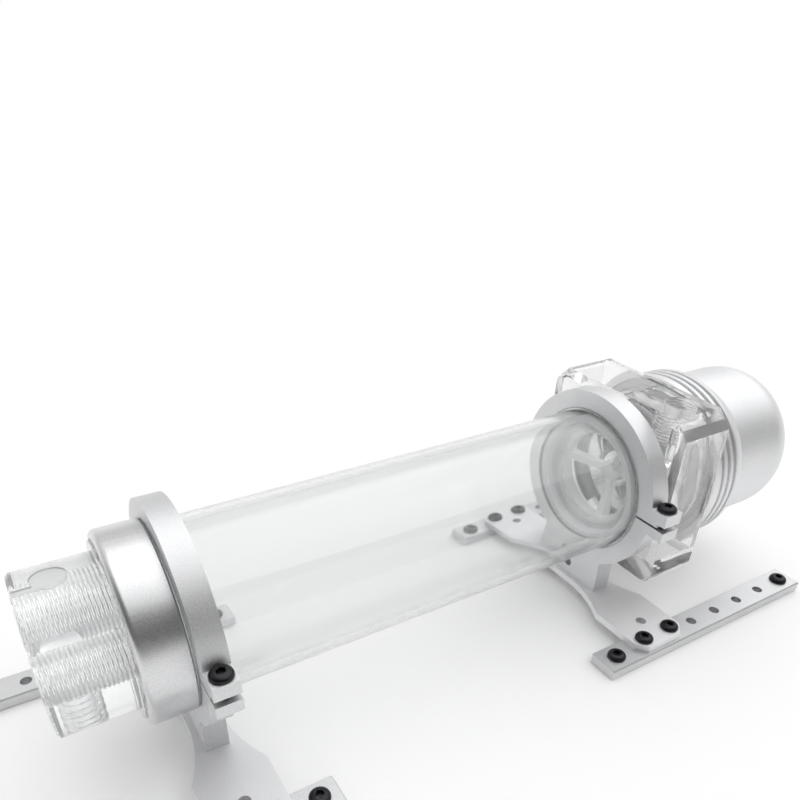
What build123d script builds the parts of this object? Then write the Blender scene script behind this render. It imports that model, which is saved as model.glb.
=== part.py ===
from build123d import *
import math
import os

# Tube reservoir with an end-mounted circulation pump, carried by two split
# clamp rings on four drilled rails that bolt over a fan-hole pattern.
# Millimetres. +X runs along the tube to the pump, +Z is up, Z = 0 is the
# underside of the rails. Stations along X are measured from the middle
# between the two feet; the finished pieces are moved so that the origin is
# under the middle of the whole object.

# Driving dimensions: rails and feet
fan_pitch = 105.0          # hole spacing of a 120 mm fan, across the rails
hole_pitch = 15.0          # spacing of the holes along a rail
rail_holes = 8
rail_over = 7.5            # rail length beyond its end holes
rail_w = 13.0
rail_t = 5.0
rail_edge = 0.5            # chamfer on the rail edges
rail_first = 67.5          # first rail hole, from the middle
hole_r = 2.2               # clearance hole for an M4 screw
foot_t = 3.0
foot_waist = 12.6          # width of the foot under the ring
foot_end = 26.6            # width of the foot at the rails
foot_waist_y = 8.0         # where the straight waist ends
foot_wide_y = 30.0         # where the full width starts
foot_over = 5.0            # foot length beyond its screws
foot_corner = 4.5
foot_bow = 0.36            # share of the flare reached at the bow's middle
foot_bow_y = 1.0           # bow's middle, outboard of halfway
spare_in = 9.0             # spare foot hole, inboard of the screws
stem_half = 18.3           # half width of the stem plate
stem_blend = 1.8
stem_hole_up = 6.0         # stem hole, above the foot

# Driving dimensions: clamp rings
axis_h = 57.5              # tube axis above the rails' underside
tube_r = 30.0
liner_t = 0.95
liner_gap = 0.12           # between the liner and the metal or the tube
liner_over = 0.4           # liner past each ring face
ring_wall = 7.3
ring_w = 8.5
slit_w = 1.0
slit_z = -1.5              # slit, from the axis height
lug_out = 7.2              # lug length past the ring
lug_top = 5.7              # top of the upper lug, from the axis height
lug_low = 4.3              # thickness of the lower lug
lug_screw_in = 0.4         # lug screw, inboard of the lug's middle
relief_len = 3.6           # relief at the outer end of the slit
relief_up = 1.5

# Driving dimensions: tube, collar and end cap
tube_wall = 3.0
insert_wall = 2.95
insert_len = 11.0
insert_long = 12.4
insert_edge = 0.6          # chamfer at the inner end of the long insert
glue_gap = 0.05
collar_wall = 2.2          # collar over the tube's outside
collar_len = 14.9
collar_edge = 2.0
collar_gap = 0.6           # collar to the left clamp ring
collar_lip = 2.5           # inward shoulder that the tube end meets
collar_fit = 0.1
collar_back = 0.4          # chamfer at the collar's back
gasket_t = 0.6
gasket_in = 0.2            # gasket inside the tube's two surfaces
cap_in = 4.0               # cap body inside the tube's outside
cap_len = 24.2             # cap body in front of its flange
cap_edge = 0.8
flange_in = 0.6            # flange inside the tube's outside
flange_t = 2.0
flange_sunk = 1.2          # depth of the flange in the collar
flange_gap = 0.2
thread_len = 8.0           # engaged thread of the cap
thread_gap = 0.1
port_r = 5.8               # tapped G1/4 hole
port_mouth = 0.8           # chamfer at a port mouth
port_y = 10.0              # the two end ports, from the axis
side_port_in = 8.5         # lower port, from the cap's end face
mark_r = 5.2               # round shallow recess on top of the cap
mark_in = 10.7             # recess, from the cap's end face
mark_deep = 0.9
mark_slot_w = 2.4
mark_slot_y = -3.4
seal_r = 0.9               # section radius of the cap's O-ring
seal_gap = 0.08
seal_out = 0.5             # O-ring beyond the spigot's thread

# Driving dimensions: pump top
top_gap = 3.35             # right clamp ring to the pump top
top_t = 24.4
top_side_in = 1.0          # block's sides inside the cover ring's outside
top_up_in = 0.5
top_down_in = 0.6
top_chamfer = 6.6
top_corner = 5.0           # rounding along the lower edges
spigot_len = 9.0
spigot_wall = 3.1
inlet_r = 8.0
inlet_cone = 6.0
volute_in = 4.0            # round pump body in the block, inside the boss
frame_wall = 4.2           # wall left beside and above the corner windows
frame_low = 10.9           # wall left below them
outlet_x = 13.8            # outlet port, from the block's left face
outlet_y = -20.0
outlet_boss_r = 8.8
outlet_deep = 15.0
outlet_neck_r = 4.2
outlet_neck_x = 1.2        # neck, from the port's axis towards the chamber
outlet_neck_low = 7.0      # lower end of the neck, from the axis height
chamber_in = 6.4           # chamber wall inside the pump's flange
chamber_deep = 8.2
boss_in = 4.0              # boss inside the cover ring's outside
boss_wall = 3.4
boss_len = 5.5
groove_w = 2.6
groove_deep = 1.6
pump_seal_in = 1.8         # seal's centre inside the flange's edge
pump_seal_sec = 1.2
flange_fit = 0.2           # boss round the pump's flange
seal_lift = 0.05           # O-ring off its groove floor

# Driving dimensions: spider, pump and cover
spider_w = 5.0
spider_fit = 0.1           # rim in the spigot's bore
spider_turn = 38.0         # first arm, from the top
spider_rim = 2.0
spider_in = 2.0            # spider, from the end of the spigot
spider_arms = 3
spider_arm_w = 3.4
spider_lean = 8.4          # front of the hub, behind the front of the rim
hub_r = 5.0
hub_len = 5.0
hub_nose = 2.0             # rounding at the front of the hub
can_flange_t = 5.0
can_in = 1.8               # housing inside its flange
can_end_gap = 3.0
can_round = 12.0
rotor_in = 3.0             # rotor inside the wheel
rotor_gap = 0.4            # rotor in its cup
ball_in = 3.2              # bearing ball, from the flange's face
ball_r = 3.0
ball_fit = 0.05
post_r = 1.8
post_in = 0.6              # post inside the ball
post_fit = 0.02            # press hole of the ball, off the post
rotor_bore = 5.0
wheel_in_r = 4.0           # wheel inside the chamber
wheel_gap = 0.7            # blade tips to the chamber's end
wheel_disc = 2.0
wheel_in = 1.0             # back of the wheel, inside the block's face
blade_count = 7
blade_t = 1.6
blade_root_r = 8.5
blade_sweep = 55.0
cover_r = 38.0
cover_len = 22.7
cover_gap = 0.3            # cover ring to the pump top
cover_cone = 7.5
cover_edge = 0.6           # chamfer at the cover's front
cover_fit = 0.1            # round the boss and against the flange
lip_gap = 0.4              # cover's lip round the motor housing
cover_step = 0.2           # small end of the cone, outside the dome
rib_count = 3
rib_pitch = 3.7
rib_first = 5.6
rib_w = 1.0
rib_deep = 0.9
dome_in = 4.5              # dome inside the cover ring's outside
dome_len = 40.0
dome_wall = 2.2
dome_round = 15.0
dome_spigot = 7.0
dome_step = 1.2            # spigot of the dome, inside its own surface
dome_fit = 0.1

# Driving dimensions: screws
screw_r = 2.0
head_r = 3.8
head_h = 2.2
key_across = 2.5
key_deep = 1.3
tip_gap = 0.2
hole_over = 0.5            # tapped hole beyond the screw's tip
shank_fit = 0.05           # round a shank in its tapped hole
head_fit = 0.15            # round a head in its spot face
sunk_fit = 0.1             # round a countersunk head
sunk_r = 3.9
sunk_h = 2.1
stem_screw_y = 12.0
stem_screw_deep = 9.0

# Stations and sizes that follow
foot_x = rail_first + 1.5 * hole_pitch
rail_end = rail_first + (rail_holes - 1) * hole_pitch + rail_over
rail_start = rail_first - rail_over
foot_top = rail_t + foot_t
foot_screw_y = fan_pitch / 2
foot_screws_at = (rail_first + hole_pitch, rail_first + 2 * hole_pitch)
rail_screws_at = (rail_first, rail_end - rail_over)
tube_in = tube_r - tube_wall
collar_r = tube_r + collar_wall
cap_r = tube_r - cap_in
flange_r = tube_r - flange_in
boss_r = cover_r - boss_in
top_half = cover_r - top_side_in
top_up = cover_r - top_up_in
top_down = cover_r - top_down_in
volute_wall_r = boss_r - volute_in
can_flange_r = boss_r - boss_wall - flange_fit
can_r = can_flange_r - can_in
dome_r = cover_r - dome_in
pump_seal_r = can_flange_r - pump_seal_in
chamber_r = can_flange_r - chamber_in
wheel_r = chamber_r - wheel_in_r
rotor_r = wheel_r - rotor_in
cup_r = rotor_r + rotor_gap
ring_in = tube_r + liner_t + 2 * liner_gap
ring_out = ring_in + ring_wall
lug_end = ring_out + lug_out
lug_screw_y = -(ring_out + lug_out / 2 - lug_screw_in)
collar_right = -foot_x - ring_w / 2 - collar_gap
collar_left = collar_right - collar_len
flange_right = collar_left + flange_sunk
flange_left = flange_right - flange_t
cap_left = flange_left - cap_len
tube_left = flange_right + collar_lip + gasket_t
insert_out = tube_in - glue_gap
insert_in = insert_out - insert_wall
thread_r = insert_in - thread_gap
spigot_bore = thread_r - spigot_wall
cap_right = tube_left + thread_len
top_left = foot_x + ring_w / 2 + top_gap
top_right = top_left + top_t
tube_right = top_left - gasket_t
spigot_left = top_left - spigot_len
chamber_left = top_right - chamber_deep
can_left = top_right - groove_deep + 2 * (pump_seal_sec + seal_lift)
ball_x = can_left + ball_in
cover_left = top_right + cover_gap
cover_right = cover_left + cover_len
dome_end = cover_right + dome_len
origin_x = (dome_end - rail_end) / 2


def turned(points):
    """Solid turned about the tube axis from (x, radius) points."""
    outline = make_face(Polyline(*points, close=True))
    return Pos(0, 0, axis_h) * revolve(Plane.XZ * outline, Axis.X)


def sleeve(x0, x1, r_out, r_in):
    """Plain ring about the tube axis."""
    return turned([(x0, r_in), (x1, r_in), (x1, r_out), (x0, r_out)])


def rod(x0, x1, r):
    """Plain cylinder about the tube axis."""
    return turned([(x0, 0), (x1, 0), (x1, r), (x0, r)])


def hole_down(x, y, z_top, depth, r):
    """Upright round cutter whose top is at z_top."""
    return Pos(x, y, z_top - depth / 2) * Cylinder(r, depth)


def edges_at_x(shape, x):
    """Edges of a turned piece that lie in the plane at x."""
    return shape.edges().filter_by_position(Axis.X, x - 0.01, x + 0.01)


def rail(side, row):
    """One drilled rail; side is +1 at the pump, row is -1 at the front."""
    length = rail_end - rail_start
    middle = side * (rail_start + rail_end) / 2
    bar = Pos(middle, row * fan_pitch / 2, rail_t / 2) * Box(length, rail_w, rail_t)
    bar = chamfer(bar.edges(), rail_edge)
    for i in range(rail_holes):
        x = side * (rail_first + i * hole_pitch)
        bar -= hole_down(x, row * fan_pitch / 2, rail_t + 1, rail_t + 2, hole_r)
    return bar


def foot(side):
    """Bow-tie plate between the two rails of one side."""
    half = foot_end / 2
    waist = foot_waist / 2
    end_y = foot_screw_y + foot_over
    bow_y = (foot_waist_y + foot_wide_y) / 2 + foot_bow_y
    bow_x = waist + foot_bow * (half - waist)
    quarter = [
        Line((waist, 0), (waist, foot_waist_y)),
        ThreePointArc((waist, foot_waist_y), (bow_x, bow_y), (half, foot_wide_y)),
        Line((half, foot_wide_y), (half, end_y - foot_corner)),
        Line((half, end_y - foot_corner), (half - foot_corner, end_y)),
        Line((half - foot_corner, end_y), (0, end_y)),
        Line((0, end_y), (0, 0)),
        Line((0, 0), (waist, 0)),
    ]
    corner = make_face(Wire(quarter))
    pair = corner + mirror(corner, Plane.YZ)
    outline = pair + mirror(pair, Plane.XZ)
    plate = Pos(side * foot_x, 0, rail_t) * extrude(outline, foot_t)
    for row in (-1, 1):
        for x in foot_screws_at:
            plate -= hole_down(side * x, row * foot_screw_y, foot_top + 1, foot_t + 2, hole_r)
        spare_y = row * (foot_screw_y - spare_in)
        plate -= hole_down(side * foot_x, spare_y, foot_top + 1, foot_t + 2, hole_r)
        y = row * stem_screw_y
        plate -= hole_down(side * foot_x, y, foot_top + 1, foot_t + 2, hole_r)
        seat = Cone(sunk_r + sunk_fit, screw_r + sunk_fit, sunk_h, align=(Align.CENTER, Align.CENTER, Align.MIN))
        plate -= Pos(side * foot_x, y, rail_t) * seat
    return plate


def clamp_ring(side):
    """Split ring, stem and lugs, milled from one plate."""
    x = side * foot_x
    disc = Circle(ring_out)
    stem_low = foot_top - axis_h
    stem = Pos(0, stem_low / 2) * Rectangle(2 * stem_half, -stem_low)
    lug_low_z = slit_z - slit_w / 2 - lug_low
    lug_h = lug_top - lug_low_z
    lug = Pos(-lug_end / 2, lug_low_z + lug_h / 2) * Rectangle(lug_end, lug_h)
    outline = disc + stem + lug
    stem_joins = outline.vertices().filter_by(
        lambda v: abs(abs(v.X) - stem_half) < 0.01 and v.Y < stem_low / 4 and v.Y > stem_low + 1
    )
    outline = fillet(stem_joins, stem_blend)
    outline -= Circle(ring_in)
    outline -= Pos(-ring_in - ring_wall, slit_z) * Rectangle(2 * (ring_wall + lug_out), slit_w)
    relief = Rectangle(relief_len, relief_up, align=(Align.MIN, Align.MIN))
    outline -= Pos(-lug_end, slit_z + slit_w / 2 - 0.01) * relief
    body = Pos(x - ring_w / 2, 0, axis_h) * extrude(Plane.YZ * outline, ring_w)
    cut_top = axis_h + lug_top + 1
    body -= hole_down(x, lug_screw_y, cut_top, lug_top - slit_z + 1, hole_r)
    body -= hole_down(x, lug_screw_y, cut_top, lug_h + 2, screw_r + shank_fit)
    body -= hole_down(x, lug_screw_y, axis_h + lug_top + head_h + 1, head_h + 1, head_r + head_fit)
    stem_hole = Pos(x, 0, foot_top + stem_hole_up) * Rot(0, 90, 0) * Cylinder(hole_r, ring_w + 2)
    body -= stem_hole
    for row in (-1, 1):
        top = foot_top + stem_screw_deep + hole_over
        body -= hole_down(x, row * stem_screw_y, top, stem_screw_deep + 1, screw_r + shank_fit)
    return body


def liner(side):
    """Clear sleeve between a clamp ring and the tube."""
    half = ring_w / 2 + liner_over
    inner = tube_r + liner_gap
    return sleeve(side * foot_x - half, side * foot_x + half, inner + liner_t, inner)


def button_screw(length):
    """Button-head socket screw, head underside at the origin."""
    dome = ThreePointArc((head_r, 0.5), (head_r * 0.86, head_h * 0.62), (head_r * 0.5, head_h))
    rest = Polyline((head_r * 0.5, head_h), (0, head_h), (0, 0), (head_r, 0), (head_r, 0.5))
    head = revolve(Plane.XZ * make_face([dome, *rest.edges()]), Axis.Z)
    key = extrude(RegularPolygon(key_across / 2, 6, major_radius=False), key_deep)
    head -= Pos(0, 0, head_h - key_deep) * key
    shank = Pos(0, 0, -length / 2) * Cylinder(screw_r, length)
    return head + shank


def placed(screw, spots):
    """One screw form at every spot, as separate solids."""
    return Compound([Pos(*spot) * screw for spot in spots])


def rail_screws():
    """The screws at the rail ends, which pass into what the rails stand on."""
    spots = []
    for side in (-1, 1):
        for row in (-1, 1):
            for x in rail_screws_at:
                spots.append((side * x, row * fan_pitch / 2, rail_t))
    return placed(button_screw(rail_t - tip_gap), spots)


def foot_screws():
    """Two screws at each end of each foot, into the rails."""
    spots = []
    for side in (-1, 1):
        for row in (-1, 1):
            for x in foot_screws_at:
                spots.append((side * x, row * foot_screw_y, foot_top))
    return placed(button_screw(foot_top - tip_gap), spots)


def clamp_screws():
    """One screw draws the lugs of each ring together."""
    length = lug_top - slit_z + slit_w / 2 + lug_low - tip_gap
    spots = [(side * foot_x, lug_screw_y, axis_h + lug_top) for side in (-1, 1)]
    return placed(button_screw(length), spots)


def stem_screws():
    """Flat-head screws from under the feet into the stems."""
    head = Cone(sunk_r, screw_r, sunk_h, align=(Align.CENTER, Align.CENTER, Align.MIN))
    key = extrude(RegularPolygon(key_across / 2, 6, major_radius=False), key_deep)
    length = foot_t + stem_screw_deep - tip_gap
    shank = Pos(0, 0, length / 2) * Cylinder(screw_r, length)
    screw = head + shank - key
    spots = []
    for side in (-1, 1):
        for row in (-1, 1):
            spots.append((side * foot_x, row * stem_screw_y, rail_t))
    return placed(screw, spots)


def tube():
    """Clear acrylic tube."""
    return sleeve(tube_left, tube_right, tube_r, tube_in)


def tube_insert_left():
    """Threaded ring bonded in the tube end for the cap."""
    return sleeve(tube_left, tube_left + insert_len, insert_out, insert_in)


def tube_insert_right():
    """Threaded ring bonded in the tube end for the pump top."""
    ring = sleeve(tube_right - insert_long, tube_right, insert_out, insert_in)
    return chamfer(edges_at_x(ring, tube_right - insert_long), insert_edge)


def tube_gasket_left():
    """Flat gasket between the collar's shoulder and the tube."""
    return sleeve(tube_left - gasket_t, tube_left, tube_r - gasket_in, tube_in + gasket_in)


def tube_gasket_right():
    """Flat gasket between the tube and the pump top."""
    return sleeve(tube_right, top_left, tube_r - gasket_in, tube_in + gasket_in)


def collar():
    """Turned aluminium collar over the tube end, clamped by the cap."""
    lip_in = thread_r + seal_gap + seal_out
    lip_right = flange_right + collar_lip
    bore = tube_r + collar_fit
    sunk = flange_r + flange_gap
    body = turned([
        (collar_left, sunk),
        (flange_right, sunk),
        (flange_right, lip_in),
        (lip_right, lip_in),
        (lip_right, bore),
        (collar_right, bore),
        (collar_right, collar_r),
        (collar_left, collar_r),
    ])
    rim = edges_at_x(body, collar_left).sort_by(SortBy.RADIUS)[-1]
    body = fillet(rim, collar_edge)
    back = edges_at_x(body, collar_right).sort_by(SortBy.RADIUS)[-1]
    return chamfer(back, collar_back)


def end_cap():
    """Clear turned cap with two end ports, one lower port and a screw spigot."""
    ring_r = thread_r + seal_out - 2 * seal_r - seal_gap
    seal_x = flange_right + collar_lip / 2
    slot = seal_r + seal_gap
    body = turned([
        (cap_left, 0),
        (cap_right, 0),
        (cap_right, thread_r),
        (seal_x + slot, thread_r),
        (seal_x + slot, ring_r),
        (seal_x - slot, ring_r),
        (seal_x - slot, thread_r),
        (flange_right, thread_r),
        (flange_right, flange_r),
        (flange_left, flange_r),
        (flange_left, cap_r),
        (cap_left, cap_r),
    ])
    rim = edges_at_x(body, cap_left).sort_by(SortBy.RADIUS)[-1]
    body = chamfer(rim, cap_edge)
    for y in (-port_y, port_y):
        shift = Pos(0, y, 0)
        body -= shift * rod(cap_left - 1, cap_right + 1, port_r)
        mouth = [
            (cap_left - 1, 0),
            (cap_left + port_mouth, 0),
            (cap_left + port_mouth, port_r),
            (cap_left - 1, port_r + port_mouth + 1),
        ]
        body -= shift * turned(mouth)
    x = cap_left + side_port_in
    body -= Pos(x, 0, axis_h - (cap_r + 2) / 2) * Cylinder(port_r, cap_r + 2)
    mark_x = cap_left + mark_in
    mark_z = axis_h + cap_r - mark_deep
    disc = Cylinder(mark_r, 4, align=(Align.CENTER, Align.CENTER, Align.MIN))
    body -= Pos(mark_x, 0, mark_z) * disc
    slot_len = mark_in + 1
    groove = Box(slot_len, mark_slot_w, 4, align=(Align.MAX, Align.CENTER, Align.MIN))
    body -= Pos(mark_x, mark_slot_y, mark_z + 0.2) * groove
    return body


def cap_o_ring():
    """Seal in the cap's groove, against the collar's shoulder."""
    x = flange_right + collar_lip / 2
    r = thread_r + seal_out - seal_r
    section = Plane.XZ * (Pos(x, r) * Circle(seal_r))
    return Pos(0, 0, axis_h) * revolve(section, Axis.X)


def corner_window(y_side, z_side):
    """Window between the round pump body and one corner of the block."""
    z_far = top_up - frame_wall if z_side > 0 else top_down - frame_low
    y_far = top_half - frame_wall
    field = Pos(y_side * y_far / 2, z_side * z_far / 2) * Rectangle(y_far, z_far)
    corner = y_side * y_far, z_side * z_far
    field -= Circle(volute_wall_r)
    if z_side > 0 and y_side < 0:
        boss = Pos(outlet_y, z_far / 2) * Rectangle(2 * outlet_boss_r, z_far)
        field -= boss
    pieces = field.faces().sort_by(lambda f: (f.center().X - corner[0]) ** 2 + (f.center().Y - corner[1]) ** 2)
    return pieces[0]


def pump_top():
    """Clear block with spigot, inlet, pump chamber, outlet and corner windows."""
    width = 2 * top_half
    height = top_up + top_down
    slab = Pos(0, (top_up - top_down) / 2) * Rectangle(width, height)
    high = slab.vertices().group_by(Axis.Y)[-1]
    slab = chamfer(high, top_chamfer)
    low = slab.vertices().group_by(Axis.Y)[0]
    slab = fillet(low, top_corner)
    for y_side, z_side in ((-1, -1), (1, -1), (-1, 1), (1, 1)):
        slab -= corner_window(y_side, z_side)
    block = Pos(top_left, 0, axis_h) * extrude(Plane.YZ * slab, top_t)
    block += rod(spigot_left, top_left + 1, thread_r)
    block += sleeve(top_right - 1, top_right + boss_len, boss_r, can_flange_r + flange_fit)
    block -= turned([
        (spigot_left - 1, 0),
        (chamber_left + 1, 0),
        (chamber_left + 1, inlet_r),
        (top_left + 1 + inlet_cone, inlet_r),
        (top_left + 1, spigot_bore),
        (spigot_left - 1, spigot_bore),
    ])
    block -= rod(chamber_left, top_right + 1, chamber_r)
    block -= sleeve(top_right - groove_deep, top_right + 1, pump_seal_r + groove_w / 2, pump_seal_r - groove_w / 2)
    out_x = top_left + outlet_x
    block -= hole_down(out_x, outlet_y, axis_h + top_up + 1, outlet_deep + 1, port_r)
    neck_top = top_up - outlet_deep + 1
    neck_len = neck_top - outlet_neck_low
    block -= hole_down(out_x + outlet_neck_x, outlet_y, axis_h + neck_top, neck_len, outlet_neck_r)
    return block


def pump_seal():
    """O-ring between the pump top and the pump flange."""
    x = top_right - groove_deep + pump_seal_sec + seal_lift
    section = Plane.XZ * (Pos(x, pump_seal_r) * Circle(pump_seal_sec))
    return Pos(0, 0, axis_h) * revolve(section, Axis.X)


def inlet_spider():
    """Flow straightener: three arms that lean back from a thin rim to a hub."""
    x0 = spigot_left + spider_in
    x1 = x0 + spider_w
    rim_r = spigot_bore - spider_fit
    arm_r = rim_r - spider_rim / 2
    hub_x = x0 + spider_lean
    hub = rod(hub_x, hub_x + hub_len, hub_r)
    body = fillet(edges_at_x(hub, hub_x), hub_nose)
    body += sleeve(x0, x1, rim_r, rim_r - spider_rim)
    side = Polyline((x0, arm_r), (x1, arm_r), (hub_x + hub_len, 0), (hub_x + hub_nose, 0), close=True)
    arm = extrude(Plane.XZ * make_face(side), spider_arm_w / 2, both=True)
    for i in range(spider_arms):
        turn = Rot(i * 360 / spider_arms + spider_turn, 0, 0)
        body += Pos(0, 0, axis_h) * turn * arm
    return body


def pump_can():
    """Motor housing with the flange, the rotor's cup and the bearing post."""
    can_end = dome_end - dome_wall - can_end_gap
    body = turned([
        (can_left, 0),
        (can_end, 0),
        (can_end, can_r),
        (can_left + can_flange_t, can_r),
        (can_left + can_flange_t, can_flange_r),
        (can_left, can_flange_r),
    ])
    body = fillet(edges_at_x(body, can_end), can_round)
    body -= Pos(ball_x, 0, axis_h) * Sphere(cup_r)
    body += rod(ball_x + ball_r - post_in, ball_x + cup_r + 1, post_r)
    return body


def bearing_ball():
    """Ceramic ball that the rotor turns on, pressed on the post."""
    ball = Pos(ball_x, 0, axis_h) * Sphere(ball_r)
    return ball - rod(ball_x + ball_r - post_in - post_fit, ball_x + ball_r + 1, post_r + post_fit)


def blade():
    """One swept impeller blade, as a curved strip between two arcs."""
    tip = math.radians(blade_sweep)
    mid = tip * 0.42
    mid_r = (blade_root_r + wheel_r) / 2
    middle = (mid_r * math.sin(mid), mid_r * math.cos(mid))
    end = ((wheel_r - 0.6) * math.sin(tip), (wheel_r - 0.6) * math.cos(tip))
    spine = ThreePointArc((0, blade_root_r), middle, end)
    strip = trace(spine, line_width=blade_t)
    left = chamber_left + wheel_gap
    right = top_right - wheel_in - wheel_disc
    return Pos(left, 0, axis_h) * extrude(Plane.YZ * strip, right - left + 0.2)


def rotor():
    """Impeller and magnet rotor in one, hollow for the bearing post."""
    disc_left = top_right - wheel_in - wheel_disc
    disc_right = top_right - wheel_in
    dome = Pos(ball_x, 0, axis_h) * Sphere(rotor_r)
    body = dome & rod(disc_right - 0.2, ball_x + rotor_r + 1, rotor_r + 1)
    body += rod(disc_left, disc_right, wheel_r)
    for i in range(blade_count):
        body += Pos(0, 0, axis_h) * Rot(i * 360 / blade_count, 0, 0) * Pos(0, 0, -axis_h) * blade()
    body -= rod(ball_x + 0.5, ball_x + rotor_r + 1, rotor_bore)
    body -= Pos(ball_x, 0, axis_h) * Sphere(ball_r + ball_fit)
    return body


def cover_ring():
    """Ribbed screw ring that draws the pump against the pump top."""
    lip_left = can_left + can_flange_t + cover_fit
    lip_in = can_r + lip_gap
    seat = cover_right - dome_spigot - tip_gap
    cone_r = dome_r + cover_step
    spigot_r = dome_r - dome_step + dome_fit
    body = turned([
        (cover_left, boss_r + cover_fit),
        (lip_left, boss_r + cover_fit),
        (lip_left, lip_in),
        (seat, lip_in),
        (seat, spigot_r),
        (cover_right, spigot_r),
        (cover_right, cone_r),
        (cover_right - cover_cone, cover_r),
        (cover_left, cover_r),
    ])
    rim = edges_at_x(body, cover_left).sort_by(SortBy.RADIUS)[-1]
    body = chamfer(rim, cover_edge)
    for i in range(rib_count):
        x = cover_left + rib_first + i * rib_pitch
        body -= sleeve(x - rib_w / 2, x + rib_w / 2, cover_r + 1, cover_r - rib_deep)
    return body


def pump_dome():
    """Round-ended aluminium cup over the pump motor."""
    inner_r = dome_r - dome_wall
    left = cover_right - dome_spigot
    spigot_r = dome_r - dome_step
    outside = turned([
        (left, 0),
        (dome_end, 0),
        (dome_end, dome_r),
        (cover_right + cover_fit, dome_r),
        (cover_right + cover_fit, spigot_r),
        (left, spigot_r),
    ])
    outside = fillet(edges_at_x(outside, dome_end), dome_round)
    inside = rod(left - 1, dome_end - dome_wall, min(inner_r, spigot_r - dome_step))
    inside = fillet(edges_at_x(inside, dome_end - dome_wall), dome_round - dome_wall)
    return outside - inside


def nodes():
    """Every piece by its name."""
    made = {}
    for side, side_name in ((1, "right"), (-1, "left")):
        for row, row_name in ((-1, "front"), (1, "rear")):
            made[f"rail_{row_name}_{side_name}"] = rail(side, row)
        made[f"foot_{side_name}"] = foot(side)
        made[f"clamp_ring_{side_name}"] = clamp_ring(side)
        made[f"ring_liner_{side_name}"] = liner(side)
    made["rail_screws"] = rail_screws()
    made["foot_screws"] = foot_screws()
    made["clamp_screws"] = clamp_screws()
    made["stem_screws"] = stem_screws()
    for make in (
        tube, tube_insert_left, tube_insert_right, tube_gasket_left, tube_gasket_right,
        collar, end_cap, cap_o_ring, pump_top, pump_seal, inlet_spider,
        pump_can, bearing_ball, rotor, cover_ring, pump_dome,
    ):
        made[make.__name__] = make()
    return made


os.makedirs("parts", exist_ok=True)
for name, shape in nodes().items():
    export_step(Pos(-origin_x, 0, 0) * shape, f"parts/{name}.step")
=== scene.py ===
import math

import bmesh
import bpy
from mathutils import Matrix, Vector


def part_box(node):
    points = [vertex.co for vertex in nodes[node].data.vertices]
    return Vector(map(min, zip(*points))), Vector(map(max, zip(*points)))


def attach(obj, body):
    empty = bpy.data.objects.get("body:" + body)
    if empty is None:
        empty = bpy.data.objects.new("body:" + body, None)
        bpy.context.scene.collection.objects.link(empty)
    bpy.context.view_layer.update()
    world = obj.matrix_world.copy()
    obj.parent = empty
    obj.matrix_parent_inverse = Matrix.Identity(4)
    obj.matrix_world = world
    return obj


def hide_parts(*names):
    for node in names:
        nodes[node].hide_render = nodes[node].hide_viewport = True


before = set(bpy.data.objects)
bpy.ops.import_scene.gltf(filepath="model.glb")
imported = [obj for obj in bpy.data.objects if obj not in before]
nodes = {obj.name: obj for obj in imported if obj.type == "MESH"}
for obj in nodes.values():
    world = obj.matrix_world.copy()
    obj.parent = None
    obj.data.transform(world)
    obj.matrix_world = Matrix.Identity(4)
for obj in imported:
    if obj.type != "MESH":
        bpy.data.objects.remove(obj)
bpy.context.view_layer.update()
MM = 0.001


# Rails
# Four flat aluminium bars with eight holes each, which bolt over fan holes.
# They are milled, chamfered, bead blasted and clear anodised.
def linear(hex_colour):
    """The linear colour, with alpha, of an sRGB hex value."""
    parts = [int(hex_colour[i : i + 2], 16) / 255 for i in (0, 2, 4)]
    return [p / 12.92 if p <= 0.04045 else ((p + 0.055) / 1.055) ** 2.4 for p in parts] + [1.0]


def add_node(tree, kind, values=None, links=None, **settings):
    """Adds a node with its settings, its sockets' values and its links."""
    node = tree.nodes.new(kind)
    for name, value in settings.items():
        setattr(node, name, value)
    for name, value in (values or {}).items():
        node.inputs[name].default_value = value
    for name, socket in (links or {}).items():
        tree.links.new(socket, node.inputs[name])
    return node


def new_material(name):
    """An empty node material and the place on the piece that its patterns read."""
    material = bpy.data.materials.new(name)
    material.use_nodes = True
    tree = material.node_tree
    tree.nodes.clear()
    place = add_node(tree, "ShaderNodeTexCoord").outputs["Object"]
    return material, tree, place


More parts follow.
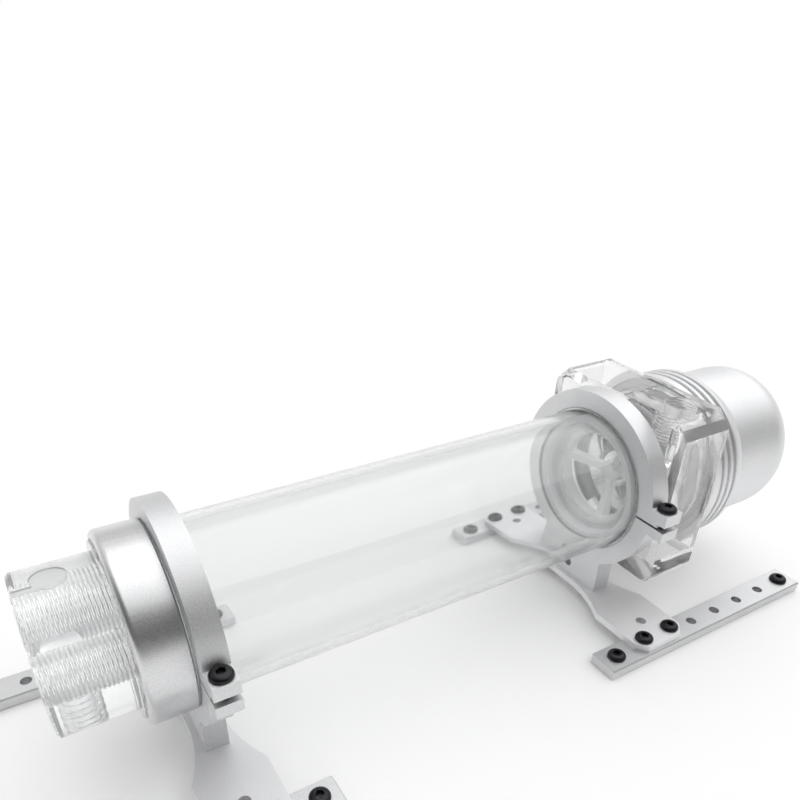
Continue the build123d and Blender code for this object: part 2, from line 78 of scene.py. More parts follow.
def blasted_aluminium(name, dark, light, roughness, grit_mm, depth_mm):
    """Bead-blasted, clear anodised aluminium: a fine sparkle on a soft grey."""
    material, tree, place = new_material(name)
    # Real bead marks are about 0.1 mm across; they are drawn coarser, so that they show.
    grit = add_node(
        tree, "ShaderNodeTexNoise",
        {"Scale": 1 / (grit_mm * MM), "Detail": 3.0, "Roughness": 0.65}, {"Vector": place},
    ).outputs["Fac"]
    # A wide, faint cloud keeps a long flat from looking like one even tone.
    cloud_mm = 30.0
    cloud = add_node(
        tree, "ShaderNodeTexNoise",
        {"Scale": 1 / (cloud_mm * MM), "Detail": 2.0}, {"Vector": place},
    ).outputs["Fac"]
    both = add_node(
        tree, "ShaderNodeMix", {0: 0.25}, {2: grit, 3: cloud}, data_type="FLOAT",
    ).outputs[0]
    tone = add_node(tree, "ShaderNodeValToRGB", links={"Fac": both})
    tone.color_ramp.elements[0].position = 0.38
    tone.color_ramp.elements[0].color = linear(dark)
    tone.color_ramp.elements[1].position = 0.62
    tone.color_ramp.elements[1].color = linear(light)
    gloss = add_node(
        tree, "ShaderNodeMapRange",
        {"From Min": 0.3, "From Max": 0.7, "To Min": roughness - 0.05, "To Max": roughness + 0.07},
        {"Value": grit},
    ).outputs["Result"]
    pits = add_node(
        tree, "ShaderNodeBump", {"Strength": 0.5, "Distance": depth_mm * MM}, {"Height": grit},
    ).outputs["Normal"]
    shader = add_node(
        tree, "ShaderNodeBsdfPrincipled", {"Metallic": 1.0},
        {"Base Color": tone.outputs["Color"], "Roughness": gloss, "Normal": pits},
    )
    add_node(tree, "ShaderNodeOutputMaterial", links={"Surface": shader.outputs["BSDF"]})
    return material


def finish_node(name, material):
    """Gives a piece of the frame its finish."""
    mesh = nodes[name].data
    mesh.materials.clear()
    mesh.materials.append(material)


# The rails look a shade darker than the plates on them, with a fine dull sparkle.
rail_aluminium = blasted_aluminium("blasted_aluminium_rail", "CACBCC", "E0E0E1", 0.45, 0.45, 0.012)
for end in ("right", "left"):
    for row in ("front", "rear"):
        finish_node(f"rail_{row}_{end}", rail_aluminium)


# Feet and clamp rings
# Bow-tie plates across the rails, and a split ring on a stem on each of them.
# They are milled from plate and blasted finer than the rails; the feet's paler tone is painted light.

# The feet are nearly matt, with their tone painted paler against the shade under the tube and pump; the
# rings' tone is painted a little darker, painted shade that keeps their rims' shine from going white.
foot_aluminium = blasted_aluminium("blasted_aluminium_foot", "ECECED", "F8F8F9", 0.6, 0.4, 0.01)
plate_aluminium = blasted_aluminium("blasted_aluminium_plate", "D2D3D4", "E6E6E7", 0.5, 0.4, 0.01)
for end in ("right", "left"):
    finish_node(f"foot_{end}", foot_aluminium)
    finish_node(f"clamp_ring_{end}", plate_aluminium)


# Ring liners
# Clear sleeves between each ring and the tube.
# They are turned acrylic, left with a fine satin from the tool.
acrylic_ior = 1.49
acrylic_face = linear("FAFAFA")


def clear_acrylic(name, tint, roughness, clearness, wave_mm, wave_depth_mm, stretch=1.0):
    """Clear acrylic that lamps reach through, a little milky where clearness is under 1."""
    material, tree, place = new_material(name)
    # Stretch draws the waves out along the object, as they lie on a drawn tube.
    drawn = add_node(tree, "ShaderNodeMapping", {"Scale": (1 / stretch, 1.0, 1.0)}, {"Vector": place})
    wave = add_node(
        tree, "ShaderNodeTexNoise",
        {"Scale": 1 / (wave_mm * MM), "Detail": 2.0}, {"Vector": drawn.outputs["Vector"]},
    ).outputs["Fac"]
    ripple = add_node(
        tree, "ShaderNodeBump", {"Strength": 0.3, "Distance": wave_depth_mm * MM}, {"Height": wave},
    ).outputs["Normal"]
    shader = add_node(
        tree, "ShaderNodeBsdfPrincipled",
        {
            "Base Color": linear(tint), "Roughness": roughness,
            "IOR": acrylic_ior, "Transmission Weight": clearness,
        },
        {"Normal": ripple},
    )
    # A lamp loses four percent at each face, so a clear piece throws a pale shadow.
    see_through = add_node(tree, "ShaderNodeBsdfTransparent", {"Color": acrylic_face})
    shadow = add_node(tree, "ShaderNodeLightPath").outputs["Is Shadow Ray"]
    both = add_node(
        tree, "ShaderNodeMixShader",
        links={0: shadow, 1: shader.outputs["BSDF"], 2: see_through.outputs["BSDF"]},
    )
    add_node(tree, "ShaderNodeOutputMaterial", links={"Surface": both.outputs["Shader"]})
    return material


# A fine satin: the tube shows through the sleeves, but softly.
satin_acrylic = clear_acrylic("turned_acrylic_satin", "F6F7F8", 0.25, 0.85, 0.6, 0.01)
for end in ("right", "left"):
    finish_node(f"ring_liner_{end}", satin_acrylic)


# Screws
# Black button-head socket screws hold the rails, the feet and the lugs.
# They are M4 alloy steel, cold headed with a hex socket and black oxidised.
def black_oxide(name, hex_colour, roughness):
    """Black-oxidised steel: near black, with a soft oily gloss."""
    material, tree, place = new_material(name)
    # The gloss drifts like a thin film of oil, so no head looks painted.
    film = add_node(
        tree, "ShaderNodeTexNoise", {"Scale": 1 / (0.8 * MM), "Detail": 3.0}, {"Vector": place},
    ).outputs["Fac"]
    gloss = add_node(
        tree, "ShaderNodeMapRange",
        {"To Min": roughness - 0.08, "To Max": roughness + 0.1}, {"Value": film},
    ).outputs["Result"]
    shader = add_node(
        tree, "ShaderNodeBsdfPrincipled",
        {"Base Color": linear(hex_colour), "Metallic": 1.0}, {"Roughness": gloss},
    )
    add_node(tree, "ShaderNodeOutputMaterial", links={"Surface": shader.outputs["BSDF"]})
    return material


def turned_mesh(name, outline, sides):
    """A closed mesh turned about X from (x, radius) points in millimetres."""
    work = bmesh.new()
    rings = []
    for x, radius in outline:
        spots = sides if radius else 1
        angles = [2 * math.pi * i / sides for i in range(spots)]
        rings.append([
            work.verts.new((x * MM, radius * MM * math.cos(a), radius * MM * math.sin(a)))
            for a in angles
        ])
    for near, far in zip(rings, rings[1:] + rings[:1]):
        for i in range(sides):
            corners = [near[i % len(near)], near[(i + 1) % len(near)]]
            corners += [far[(i + 1) % len(far)], far[i % len(far)]]
            corners = list(dict.fromkeys(corners))
            if len(corners) > 2:
                work.faces.new(corners)
    bmesh.ops.recalc_face_normals(work, faces=work.faces)
    mesh = bpy.data.meshes.new(name)
    work.to_mesh(mesh)
    work.free()
    return mesh


def put(name, mesh, material=None):
    """Links a mesh to the scene as an object at the origin."""
    piece = bpy.data.objects.new(name, mesh)
    bpy.context.scene.collection.objects.link(piece)
    if material:
        mesh.materials.clear()
        mesh.materials.append(material)
    return piece


def settled(piece, name):
    """The plain mesh that a piece's modifiers make, with the piece removed."""
    mesh = bpy.data.meshes.new_from_object(piece.evaluated_get(bpy.context.evaluated_depsgraph_get()))
    mesh.name = name
    bpy.data.objects.remove(piece)
    return mesh


def smoothed(mesh, degrees):
    """Smooth shading, with edges sharper than the angle left crisp."""
    mesh.shade_smooth()
    mesh.set_sharp_from_angle(angle=math.radians(degrees))
    return mesh


def carved(name, mesh, cutters):
    """Takes the cutters' meshes out of a mesh; the new faces keep the cutters' finish."""
    piece = put(name, mesh)
    tools = [put("cutter", cutter) for cutter in cutters]
    for tool in tools:
        modifier = piece.modifiers.new("cut", "BOOLEAN")
        modifier.object = tool
        modifier.operation = "DIFFERENCE"
        modifier.solver = "EXACT"
        modifier.material_mode = "TRANSFER"
    result = settled(piece, name)
    for tool in tools:
        bpy.data.objects.remove(tool)
    return result


def new_tree(name, inputs):
    """A Geometry Nodes tree with named inputs: the tree, its inputs and their keys."""
    tree = bpy.data.node_groups.new(name, "GeometryNodeTree")
    keys = {}
    for label, kind in inputs:
        socket = tree.interface.new_socket(name=label, in_out="INPUT", socket_type="NodeSocket" + kind)
        keys[label] = socket.identifier
    tree.interface.new_socket(name="Geometry", in_out="OUTPUT", socket_type="NodeSocketGeometry")
    return tree, tree.nodes.new("NodeGroupInput").outputs, keys


def close_tree(tree, geometry, material):
    """Ends a tree: real geometry in its finish."""
    real = add_node(tree, "GeometryNodeRealizeInstances", links={"Geometry": geometry})
    coat = add_node(
        tree, "GeometryNodeSetMaterial", links={"Geometry": real.outputs[0], "Material": material},
    )
    add_node(tree, "NodeGroupOutput", links={0: coat.outputs[0]})


def grown(name, tree, keys, values, base=None):
    """Runs a tree and returns the plain mesh that it makes."""
    piece = put(name, base or bpy.data.meshes.new(name))
    modifier = piece.modifiers.new("tree", "NODES")
    modifier.node_group = tree
    for label, value in values.items():
        modifier[keys[label]] = value
    return settled(piece, name)


# Near black, with just enough shine to show the round of each head.
screw_black = black_oxide("black_oxide_steel", "38383A", 0.32)
finish_node("stem_screws", screw_black)

head_r = 3.8
head_h = 2.2
head_edge = 0.15
head_rim = 0.45
head_flat_r = 1.875
head_sides = 40
crown_h = 1.93
crown_swing = math.radians(60)
crown_fullness = 0.72
crown_steps = 8
socket_across = 2.5
socket_r = socket_across / math.sqrt(3)
socket_deep = 1.3
socket_break = 0.3
socket_break_low = 0.25
socket_break_high = 0.05
shank_r = 2.0
shank_edge = 0.3


def button_screw(shank):
    """Button-head screw standing on Z, with the underside of its head at the origin."""
    outline = [(-shank, 0), (-shank, shank_r - shank_edge), (shank_edge - shank, shank_r), (0, shank_r)]
    outline += [(0, head_r - head_edge), (head_edge, head_r), (head_rim, head_r)]
    for i in range(1, crown_steps + 1):
        swing = crown_swing * i / crown_steps
        outline.append((
            head_rim + crown_h * math.sin(swing), head_r * math.cos(swing) ** crown_fullness,
        ))
    outline += [(head_h, head_flat_r), (head_h, 0)]
    blank = turned_mesh("screw", outline, head_sides)
    # A six-sided key with a wider mouth leaves the socket and its broken edge.
    key = turned_mesh("key", [
        (head_h - socket_deep, 0), (head_h - socket_deep, socket_r),
        (head_h - socket_break_low, socket_r),
        (head_h + socket_break_high, socket_r + socket_break),
        (head_h + 1, socket_r + socket_break), (head_h + 1, 0),
    ], 6)
    screw = smoothed(carved("screw", blank, [key]), 32)
    screw.transform(Matrix.Rotation(math.radians(-90), 4, "Y"))
    return put("screw", screw)


# Each screw stops at its own turn of the key, up to one flat of the hexagon.
screw_tree, given, screw_keys = new_tree("screws_at_holes", [
    ("Holes", "Geometry"), ("Screw", "Object"), ("Largest turn", "Float"), ("Seed", "Int"),
    ("Material", "Material"),
])
screw_info = add_node(screw_tree, "GeometryNodeObjectInfo", links={"Object": given["Screw"]})
turn = add_node(
    screw_tree, "FunctionNodeRandomValue",
    {"Min": 0.0}, {"Max": given["Largest turn"], "Seed": given["Seed"]}, data_type="FLOAT",
)
turns = add_node(screw_tree, "ShaderNodeCombineXYZ", links={"Z": turn.outputs["Value"]})
placed = add_node(screw_tree, "GeometryNodeInstanceOnPoints", links={
    "Points": given["Holes"], "Instance": screw_info.outputs["Geometry"], "Rotation": turns.outputs[0],
})
close_tree(screw_tree, placed.outputs[0], given["Material"])

rail_low, rail_high = (Vector(corner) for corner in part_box("rail_front_right"))
foot_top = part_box("foot_right")[1][2]
rail_y = -(rail_low.y + rail_high.y) / 2
middle_x = (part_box("foot_right")[0][0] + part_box("foot_left")[1][0]) / 2
end_hole = 7.5 * MM
hole_pitch = 15.0 * MM
first_hole = rail_low.x + end_hole - middle_x
last_hole = rail_high.x - end_hole - middle_x
# The lugs stand midway between the second and the third hole.
lug_x = first_hole + 1.5 * hole_pitch
lug_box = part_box("clamp_screws")
lug_y = lug_box[0][1] + head_r * MM
lug_z = lug_box[1][2] - head_h * MM


def screws(node, spots, shank, seed):
    """All the screws of one node, from the spots their heads sit on."""
    holes = bpy.data.meshes.new(node + "_holes")
    holes.from_pydata(spots, [], [])
    one = button_screw(shank)
    mesh = grown(node + "_shown", screw_tree, screw_keys, {
        "Screw": one, "Largest turn": math.radians(60), "Seed": seed, "Material": screw_black,
    }, holes)
    bpy.data.objects.remove(one)
    piece = put(mesh.name, mesh)
    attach(piece, "frame")
    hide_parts(node)


screws("rail_screws", [
    (middle_x + side * x, row * rail_y, rail_high.z)
    for side in (-1, 1) for row in (-1, 1) for x in (first_hole, last_hole)
], shank=4.8, seed=1)
screws("foot_screws", [
    (middle_x + side * x, row * rail_y, foot_top)
    for side in (-1, 1) for row in (-1, 1)
    for x in (first_hole + hole_pitch, first_hole + 2 * hole_pitch)
], shank=7.8, seed=2)
screws("clamp_screws", [
    (middle_x + side * lug_x, lug_y, lug_z) for side in (-1, 1)
], shank=11.7, seed=3)


# Tube
# A 60 mm tube between the cap and the pump, with walls of 3 mm.
# It is extruded acrylic, glossy inside and out, with faint draw waves.
axis_z = 57.5 * MM


def on_axis(mesh):
    """Moves a turned mesh from the origin to the tube's axis."""
    mesh.transform(Matrix.Translation((0, 0, axis_z)))
    return mesh


# Nearly unseen face on, with grey rims, and long faint draw waves in its shine.
tube_acrylic = clear_acrylic("extruded_acrylic_polished", "F3F4F4", 0.05, 0.97, 5.0, 0.05, 40.0)
tube_x0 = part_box("tube")[0][0] / MM
tube_x1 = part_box("tube")[1][0] / MM
tube_out = 30.0
tube_in = 27.0
tube_edge = 0.3
tube_sides = 160
tube_mesh = on_axis(turned_mesh("tube_shown", [
    (tube_x0, tube_in), (tube_x0, tube_out - tube_edge), (tube_x0 + tube_edge, tube_out),
    (tube_x1 - tube_edge, tube_out), (tube_x1, tube_out - tube_edge), (tube_x1, tube_in),
], tube_sides))
tube_piece = put("tube_shown", smoothed(tube_mesh, 30), tube_acrylic)
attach(tube_piece, "frame")
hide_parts("tube")


# Bonded thread rings
# A ring with an internal thread is bonded in each end of the tube.
# The thread is turned in acrylic bar, so its flanks look frosted.
thread_tree, given, thread_keys = new_tree("helical_thread", [
    ("Core radius", "Float"), ("Depth", "Float"), ("Pitch", "Float"), ("Length", "Float"),
    ("Sides", "Int"), ("Rows", "Int"), ("Material", "Material"),
])


def maths(operation, first, second=0.0):
    """A Math node in the thread's tree, from sockets or numbers."""
    node = add_node(thread_tree, "ShaderNodeMath", operation=operation)
    for i, value in enumerate((first, second)):
        if isinstance(value, (int, float)):
            node.inputs[i].default_value = value
        else:
            thread_tree.links.new(value, node.inputs[i])
    return node.outputs[0]


bar = add_node(
    thread_tree, "GeometryNodeMeshCylinder", {"Radius": 1.0},
    {"Vertices": given["Sides"], "Side Segments": given["Rows"], "Depth": given["Length"]},
)
spot = add_node(thread_tree, "GeometryNodeInputPosition").outputs[0]
where = add_node(thread_tree, "ShaderNodeSeparateXYZ", links={0: spot}).outputs
# How far a point has come within its turn of the helix gives a V-shaped flank.
angle = maths("ARCTAN2", where["Y"], where["X"])
rise = maths("DIVIDE", where["Z"], given["Pitch"])
phase = maths("FRACT", maths("SUBTRACT", rise, maths("DIVIDE", angle, 2 * math.pi)))
flank = maths("MULTIPLY", maths("ABSOLUTE", maths("SUBTRACT", phase, 0.5)), 2.0)
# The thread runs out over the last turn at each end.
from_end = maths("SUBTRACT", maths("MULTIPLY", given["Length"], 0.5), maths("ABSOLUTE", where["Z"]))
run_out = add_node(
    thread_tree, "ShaderNodeClamp", links={"Value": maths("DIVIDE", from_end, given["Pitch"])},
).outputs[0]
ridge = maths("MULTIPLY", maths("MULTIPLY", flank, run_out), given["Depth"])
radius = maths("ADD", given["Core radius"], ridge)
on_thread = add_node(thread_tree, "ShaderNodeCombineXYZ", links={
    "X": maths("MULTIPLY", maths("COSINE", angle), radius),
    "Y": maths("MULTIPLY", maths("SINE", angle), radius),
    "Z": where["Z"],
})
thread = add_node(
    thread_tree, "GeometryNodeSetPosition",
    links={"Geometry": bar.outputs["Mesh"], "Position": on_thread.outputs[0]},
)
close_tree(thread_tree, thread.outputs[0], given["Material"])


def thread_bar(name, core_r, depth, pitch, length, sides, rows_per_turn, material):
    """A closed bar with a helical thread, standing on Z about the origin, in millimetres."""
    return grown(name, thread_tree, thread_keys, {
        "Core radius": core_r * MM, "Depth": depth * MM, "Pitch": pitch * MM, "Length": length * MM,
        "Sides": sides, "Rows": round(length / pitch * rows_per_turn), "Material": material,
    })


# The turned flanks scatter the light, so the rings look like frosted glass.
ring_acrylic = clear_acrylic("turned_acrylic_frosted", "FBFBFC", 0.35, 0.4, 0.6, 0.01)
ring_out = 26.95
ring_blank_in = 20.0
ring_core = 24.0
ring_thread_deep = 0.9
ring_pitch = 2.0
ring_overrun = 4.0
ring_sides = 120
along_x = Matrix.Rotation(math.radians(90), 4, "Y")
for end in ("left", "right"):
    name = f"tube_insert_{end}"
    low_x, high_x = (corner[0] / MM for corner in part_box(name))
    blank = turned_mesh(name, [
        (low_x, ring_blank_in), (low_x, ring_out), (high_x, ring_out), (high_x, ring_blank_in),
    ], ring_sides)
    cutter = thread_bar(
        name, ring_core, ring_thread_deep, ring_pitch, high_x - low_x + ring_overrun,
        ring_sides, rows_per_turn=8, material=ring_acrylic,
    )
    cutter.transform(Matrix.Translation(((low_x + high_x) / 2 * MM, 0, 0)) @ along_x)
    ring = smoothed(on_axis(carved(name + "_shown", blank, [cutter])), 50)
    piece = put(name + "_shown", ring, ring_acrylic)
    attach(piece, "frame")
    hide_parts(name)


# Seals
# Flat gaskets at the tube's ends, and O-rings of the cap and the pump.
# They are moulded silicone: milky white, with a soft satin skin.
def silicone(name, hex_colour):
    """Milky silicone: light goes a little way in, so it looks soft."""
    material, tree, place = new_material(name)
    dust = add_node(
        tree, "ShaderNodeTexNoise", {"Scale": 1 / (1.2 * MM), "Detail": 4.0}, {"Vector": place},
    ).outputs["Fac"]
    gloss = add_node(
        tree, "ShaderNodeMapRange", {"To Min": 0.35, "To Max": 0.6}, {"Value": dust},
    ).outputs["Result"]
    shader = add_node(
        tree, "ShaderNodeBsdfPrincipled",
        {"Base Color": linear(hex_colour), "Subsurface Weight": 0.3, "Subsurface Scale": 0.6 * MM},
        {"Roughness": gloss},
    )
    add_node(tree, "ShaderNodeOutputMaterial", links={"Surface": shader.outputs["BSDF"]})
    return material


# A milky white with a dull skin, so the seals read as soft pale bands.
white_silicone = silicone("moulded_silicone_white", "E4E5E6")
for name in ("tube_gasket_left", "tube_gasket_right", "cap_o_ring", "pump_seal"):
    finish_node(name, white_silicone)


# Collar
# A turned aluminium collar over the tube's end, which the cap clamps.
# It is blasted and anodised, and its roundness shows as a long soft shade.

# Smoother than the plates, so the light and the room lie on it as soft bands.
collar_aluminium = blasted_aluminium("blasted_aluminium_collar", "D0D1D2", "E6E6E7", 0.33, 0.45, 0.012)
finish_node("collar", collar_aluminium)


# End cap
# A clear cap with two threaded ports in its end and one below, G1/4.
# It is turned from acrylic bar and tapped; the threads show through it.

# Polished outside, so it is clear face on and bright at its rims.
cap_acrylic = clear_acrylic("turned_acrylic_polished", "FAFBFB", 0.05, 0.9, 8.0, 0.02)
# The mark and its slot are left matt from the cutter and given a greyer tint than the cap, so they read
# as a pale grey.
matt_acrylic = clear_acrylic("milled_acrylic_matt", "DEDFDF", 0.4, 0.35, 0.5, 0.01)
# The tap leaves frosted flanks, which show through the clear wall as white ribs.
tapped_acrylic = clear_acrylic("tapped_acrylic_frosted", "FBFBFC", 0.3, 0.75, 0.5, 0.01)
# G1/4 has 19 threads to the inch.
port_core = 5.85
port_depth = 0.62
port_pitch = 1.337
port_sides = 56


def port_cutter(length, place_mm, lean):
    """A G1/4 thread to take out of a clear piece: lean turns it from Z."""
    cutter = thread_bar(
        "port", port_core, port_depth, port_pitch, length,
        port_sides, rows_per_turn=9, material=tapped_acrylic,
    )
    cutter.shade_smooth()
    cutter.transform(Matrix.Translation([v * MM for v in place_mm]) @ lean)
    return cutter


upright_turn = Matrix.Identity(4)
cap_x0, cap_x1 = (corner[0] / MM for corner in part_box("end_cap"))
cap_r = 26.0
cap_edge = 0.8
cap_sides = 144
flange_r = 29.4
flange_t = 2.0
flange_edge = 0.3
flange_x = cap_x0 + 24.2
flange_end = flange_x + flange_t
spigot_r = 23.85
seal_x = flange_end + 1.25
seal_half = 0.98
seal_floor = 22.5
cap_blank = turned_mesh("end_cap", [
    (cap_x0, 0), (cap_x0, cap_r - cap_edge), (cap_x0 + cap_edge, cap_r),
    (flange_x, cap_r), (flange_x, flange_r - flange_edge), (flange_x + flange_edge, flange_r),
    (flange_end - flange_edge, flange_r), (flange_end, flange_r - flange_edge),
    (flange_end, spigot_r), (seal_x - seal_half, spigot_r), (seal_x - seal_half, seal_floor),
    (seal_x + seal_half, seal_floor), (seal_x + seal_half, spigot_r),
    (cap_x1, spigot_r), (cap_x1, 0),
], cap_sides)
cap_blank.materials.append(cap_acrylic)
port_y = 10.0
mouth_wide = 1.8
mouth_deep = 0.8
lower_x = cap_x0 + 8.5
mark_x = cap_x0 + 10.7
mark_r = 5.2
mark_floor = cap_r - 0.9
mark_top = cap_r + 3
mark_sides = 64
slot_y = -3.4
slot_half = 1.2
slot_rise = 0.2
mark = turned_mesh("mark", [
    (mark_floor, 0), (mark_floor, mark_r), (mark_top, mark_r), (mark_top, 0),
], mark_sides)
mark.materials.append(matt_acrylic)
mark.transform(Matrix.Translation((mark_x * MM, 0, 0)) @ Matrix.Rotation(math.radians(-90), 4, "Y"))
# The slot's cutter is a box: eight corners, and six faces turned outwards.
slot = bpy.data.meshes.new("slot")
slot_ends = (
    (cap_x0 - 1, slot_y - slot_half, mark_floor + slot_rise),
    (mark_x, slot_y + slot_half, mark_top),
)
slot.from_pydata(
    [[slot_ends[(i >> k) & 1][k] * MM for k in range(3)] for i in range(8)], [],
    [(0, 2, 3, 1), (4, 5, 7, 6), (0, 1, 5, 4), (2, 6, 7, 3), (0, 4, 6, 2), (1, 3, 7, 5)],
)
slot.materials.append(matt_acrylic)
cap_cutters = [mark, slot]
cap_middle = (cap_x0 + cap_x1) / 2
for y in (-port_y, port_y):
    mouth = turned_mesh("mouth", [
        (cap_x0 - 1, 0), (cap_x0 - 1, port_core + mouth_wide),
        (cap_x0 + mouth_deep, port_core), (cap_x0 + mouth_deep, 0),
    ], port_sides)
    mouth.materials.append(cap_acrylic)
    mouth.transform(Matrix.Translation((0, y * MM, 0)))
    cap_cutters += [port_cutter(cap_x1 - cap_x0 + 2, (cap_middle, y, 0), along_x), mouth]
cap_cutters.append(port_cutter(cap_r + 2, (lower_x, 0, -(cap_r + 2) / 2), upright_turn))
cap_mesh = smoothed(on_axis(carved("end_cap_shown", cap_blank, cap_cutters)), 40)
cap_piece = put("end_cap_shown", cap_mesh)
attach(cap_piece, "cap")
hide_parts("end_cap")


# Pump top
# A clear square block with the pump's inlet, chamber and upright outlet,
# and windows in its corners. It is milled from cast acrylic and polished.

# Polished flats and bores: its edges bend the light into sharp dark and bright lines.
cast_acrylic = clear_acrylic("milled_acrylic_polished", "FCFCFC", 0.03, 0.92, 6.0, 0.01)


def joined_copy(name, material):
    """A copy of a node's mesh with its points joined for carving; its flats stay flat."""
    mesh = nodes[name].data.copy()
    mesh.attributes.remove(mesh.attributes["custom_normal"])
    mesh.materials.clear()
    mesh.materials.append(material)
    work = bmesh.new()
    work.from_mesh(mesh)
    bmesh.ops.remove_doubles(work, verts=work.verts, dist=0.001 * MM)
    work.to_mesh(mesh)
    work.free()
    return mesh


block = joined_copy("pump_top", cast_acrylic)
block.materials.append(tapped_acrylic)
spigot_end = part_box("tube")[1][0] - 0.1 * MM
# The spigot in the tube keeps its tool marks, so it looks frosted.
for face in block.polygons:
    face.material_index = int(face.center.x < spigot_end)
top_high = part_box("pump_top")[1][2] / MM
outlet_x = 108.9
outlet_y = -20.0
outlet_deep = 15.0
outlet_over = 2.0
outlet_at = (outlet_x, outlet_y, top_high - (outlet_deep - outlet_over) / 2)
outlet = port_cutter(outlet_deep + outlet_over, outlet_at, upright_turn)
block = carved("pump_top_shown", block, [outlet])
block.set_sharp_from_angle(angle=math.radians(35))
top_piece = put("pump_top_shown", block)
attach(top_piece, "frame")
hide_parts("pump_top")


# Flow straightener
# Three arms and a round-nosed hub in a thin rim, in the block's inlet.
# It is moulded clear acrylic.

# Its skin is frosted from the mould, so it shows white in the clear block.
spider_acrylic = clear_acrylic("moulded_acrylic_frosted", "FCFCFC", 0.25, 0.5, 0.8, 0.01)
finish_node("inlet_spider", spider_acrylic)


# Pump
# Motor housing, rotor and ball, out of sight under the metal cover.
# The first two are moulded white plastic; the ball is fired ceramic.
def moulded_plastic(name, hex_colour, roughness):
    """Moulded plastic or fired ceramic: an even surface with a fine grain."""
    material, tree, place = new_material(name)
    grain = add_node(
        tree, "ShaderNodeTexNoise", {"Scale": 1 / (0.5 * MM), "Detail": 2.0}, {"Vector": place},
    ).outputs["Fac"]
    bump = add_node(
        tree, "ShaderNodeBump", {"Strength": 0.3, "Distance": 0.01 * MM}, {"Height": grain},
    ).outputs["Normal"]
    shader = add_node(
        tree, "ShaderNodeBsdfPrincipled",
        {"Base Color": linear(hex_colour), "Roughness": roughness}, {"Normal": bump},
    )
    add_node(tree, "ShaderNodeOutputMaterial", links={"Surface": shader.outputs["BSDF"]})
    return material


# White with a soft shine; the ball is lapped, so it is glossy and a little creamy.
white_plastic = moulded_plastic("moulded_plastic_white", "DCDDDE", 0.35)
ball_ceramic = moulded_plastic("ceramic_white", "E6E4DE", 0.12)
finish_node("pump_can", white_plastic)
finish_node("rotor", white_plastic)
finish_node("bearing_ball", ball_ceramic)


# Cover ring and dome
# A ribbed screw ring that holds the pump, and a cup over the motor.
# Both are turned aluminium, blasted and anodised.

# Duller than the collar, so the dome shades softly from side to side; it is the collar's aluminium with
# its tone painted paler, painted light on the dome.
cover_aluminium = blasted_aluminium("blasted_aluminium_cover", "DEDFE0", "F0F0F1", 0.5, 0.4, 0.01)
finish_node("pump_dome", cover_aluminium)
cover_x0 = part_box("cover_ring")[0][0] / MM
cover_r = 38.0
groove_floor = 37.0
groove_half = 0.9
groove_break = 0.3
groove_first = 5.25
groove_pitch = 3.7
groove_count = 3
groove_sides = 180
break_r = cover_r - groove_break
grooves = []
for i in range(groove_count):
    middle = cover_x0 + groove_first + i * groove_pitch
    left, right = middle - groove_half, middle + groove_half
    groove = on_axis(turned_mesh("groove", [
        (left, groove_floor), (left, break_r), (left - 1, break_r + 1),
        (right + 1, break_r + 1), (right, break_r), (right, groove_floor),
    ], groove_sides))
    groove.materials.append(cover_aluminium)
    groove.shade_smooth()
    grooves.append(groove)
cover = carved("cover_ring_shown", joined_copy("cover_ring", cover_aluminium), grooves)
cover.set_sharp_from_angle(angle=math.radians(30))
cover_piece = put("cover_ring_shown", cover)
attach(cover_piece, "frame")
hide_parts("cover_ring")


# Floor and backdrop
# A pale floor that takes the shadow, under a surround that the camera sees white.
# Metal and glass see a room in it, with a grey band that shapes their shine.
# The floor ends 30 m away, out of sight.
floor_half = 30.0
floor_mesh = bpy.data.meshes.new("floor")
floor_mesh.from_pydata(
    [(x * floor_half, y * floor_half, 0.0) for x, y in ((-1, -1), (1, -1), (1, 1), (-1, 1))],
    [], [(0, 1, 2, 3)],
)
# Matt and nearly white, so only the soft shadow shows on it.
floor_white, tree, _ = new_material("floor_white")
matt = add_node(tree, "ShaderNodeBsdfDiffuse", {"Color": linear("FCFCFC")})
add_node(tree, "ShaderNodeOutputMaterial", links={"Surface": matt.outputs["BSDF"]})
floor = put("floor", floor_mesh, floor_white)

world = bpy.data.worlds.new("studio")
bpy.context.scene.world = world
world.use_nodes = True
tree = world.node_tree
tree.nodes.clear()
rays = add_node(tree, "ShaderNodeLightPath").outputs
direction = add_node(tree, "ShaderNodeTexCoord").outputs["Generated"]
height = add_node(tree, "ShaderNodeSeparateXYZ", links={0: direction}).outputs["Z"]
fill = add_node(tree, "ShaderNodeBackground", {"Color": linear("FFFFFF"), "Strength": 0.64})
# The room that shines back, from the floor up: white, a grey band, and paler again.
room = add_node(tree, "ShaderNodeValToRGB", links={"Fac": height})
room.color_ramp.elements[0].position = 0.08
room.color_ramp.elements[0].color = linear("FFFFFF")
room.color_ramp.elements[1].position = 0.6
room.color_ramp.elements[1].color = linear("CCCCCC")
for spot, shade in ((0.2, "6E6E6E"), (0.38, "8C8C8C")):
    room.color_ramp.elements.new(spot).color = linear(shade)
camera_side = (-0.45, -0.89, 0.0)
towards_camera = add_node(
    tree, "ShaderNodeVectorMath", {1: camera_side}, {0: direction}, operation="DOT_PRODUCT",
).outputs["Value"]
# Metal that faces the camera mirrors a dimmer wall, so its flats keep their grey.
dim = add_node(
    tree, "ShaderNodeMapRange", {"From Min": 0.0, "From Max": 0.5, "To Min": 1.0, "To Max": 0.25},
    {"Value": towards_camera},
).outputs["Result"]
strength = add_node(
    tree, "ShaderNodeMath", links={0: dim, 1: rays["Is Transmission Ray"]}, operation="MAXIMUM",
).outputs[0]
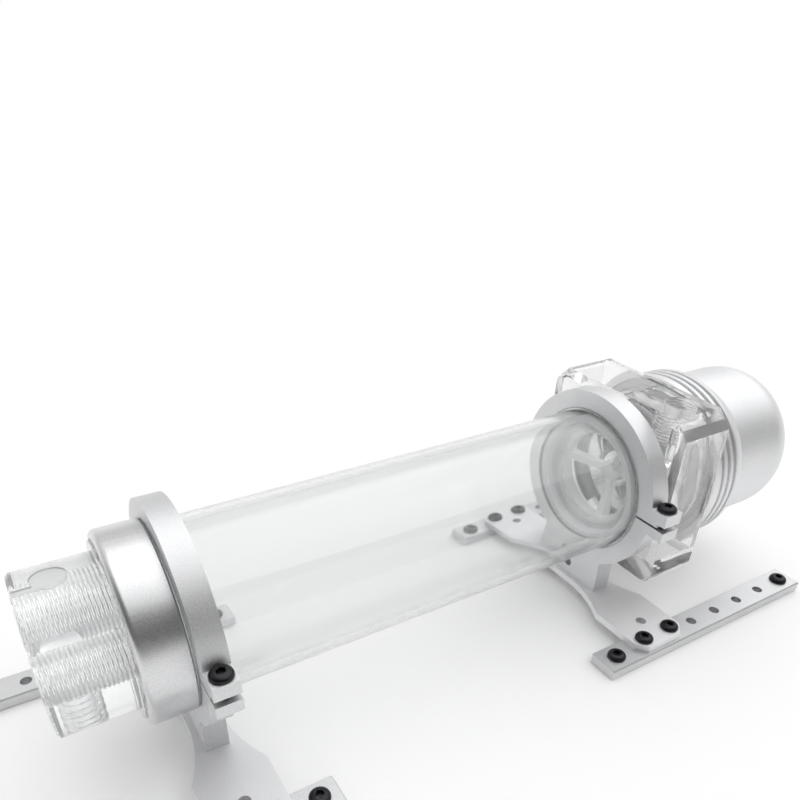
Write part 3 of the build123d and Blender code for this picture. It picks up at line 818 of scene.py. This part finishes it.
# Away from the camera, and through clear pieces, the room looks paler.
pale_side = add_node(
    tree, "ShaderNodeMapRange", {"From Min": -0.2, "From Max": 0.2, "To Min": 0.5, "To Max": 0.0},
    {"Value": towards_camera},
).outputs["Result"]
through = add_node(
    tree, "ShaderNodeMath", {1: 0.8}, {0: rays["Is Transmission Ray"]}, operation="MULTIPLY",
).outputs[0]
paler = add_node(tree, "ShaderNodeMath", links={0: through, 1: pale_side}, operation="MAXIMUM")
shown_room = add_node(
    tree, "ShaderNodeMix", {7: linear("FFFFFF")}, {0: paler.outputs[0], 6: room.outputs["Color"]},
    data_type="RGBA",
)
mirrored = add_node(
    tree, "ShaderNodeBackground", links={"Color": shown_room.outputs[2], "Strength": strength},
)
white = add_node(tree, "ShaderNodeBackground", {"Color": linear("FFFFFF"), "Strength": 1.0})
by_piece = add_node(
    tree, "ShaderNodeMath", links={0: rays["Is Glossy Ray"], 1: rays["Is Transmission Ray"]},
    operation="MAXIMUM",
)
lit = add_node(
    tree, "ShaderNodeMixShader",
    links={0: by_piece.outputs[0], 1: fill.outputs[0], 2: mirrored.outputs[0]},
)
seen = add_node(
    tree, "ShaderNodeMixShader",
    links={0: rays["Is Camera Ray"], 1: lit.outputs[0], 2: white.outputs[0]},
)
add_node(tree, "ShaderNodeOutputWorld", links={"Surface": seen.outputs[0]})


# Lamps
# One very wide soft sun from high on the pump's side, like a large softbox.
# It keeps the floor even and lays broad highlights on the metal and the tube.
sun_at = Vector((0.42, 0.02, 1.2))
sun = bpy.data.lights.new("sun", "SUN")
sun.energy = 1.35
sun.angle = math.radians(85)
lamp = bpy.data.objects.new("sun", sun)
lamp.location = sun_at
lamp.rotation_euler = (-sun_at).to_track_quat("-Z", "Y").to_euler()
bpy.context.scene.collection.objects.link(lamp)


# Camera
# It looks down on the tube from in front of its cap end.
# Its place, turn and lens come from a fit to the object's known sizes.
camera_at = Vector((-0.1267, -0.1918, 0.2109))
camera_yaw = 0.56
camera_pitch = 0.616
camera_roll = 0.027
focal_px = 723.25
centre_px = (404.95, 551.17)
picture_px = 800
sensor_mm = 36.0

ahead = Vector((
    math.sin(camera_yaw) * math.cos(camera_pitch),
    math.cos(camera_yaw) * math.cos(camera_pitch),
    -math.sin(camera_pitch),
))
level = Vector((math.cos(camera_yaw), -math.sin(camera_yaw), 0.0))
upright = level.cross(ahead)
across = math.cos(camera_roll) * level + math.sin(camera_roll) * upright
above = -math.sin(camera_roll) * level + math.cos(camera_roll) * upright
camera_data = bpy.data.cameras.new("camera")
camera_data.sensor_width = sensor_mm
camera_data.lens = sensor_mm * focal_px / picture_px
camera_data.shift_x = (picture_px / 2 - centre_px[0]) / picture_px
camera_data.shift_y = (centre_px[1] - picture_px / 2) / picture_px
camera_data.clip_start = 0.01
camera = bpy.data.objects.new("camera", camera_data)
camera_turn = Matrix((across, above, -ahead)).transposed().to_4x4()
camera.matrix_world = Matrix.Translation(camera_at) @ camera_turn
bpy.context.scene.collection.objects.link(camera)
bpy.context.scene.camera = camera
bpy.context.scene.view_settings.view_transform = "Standard"
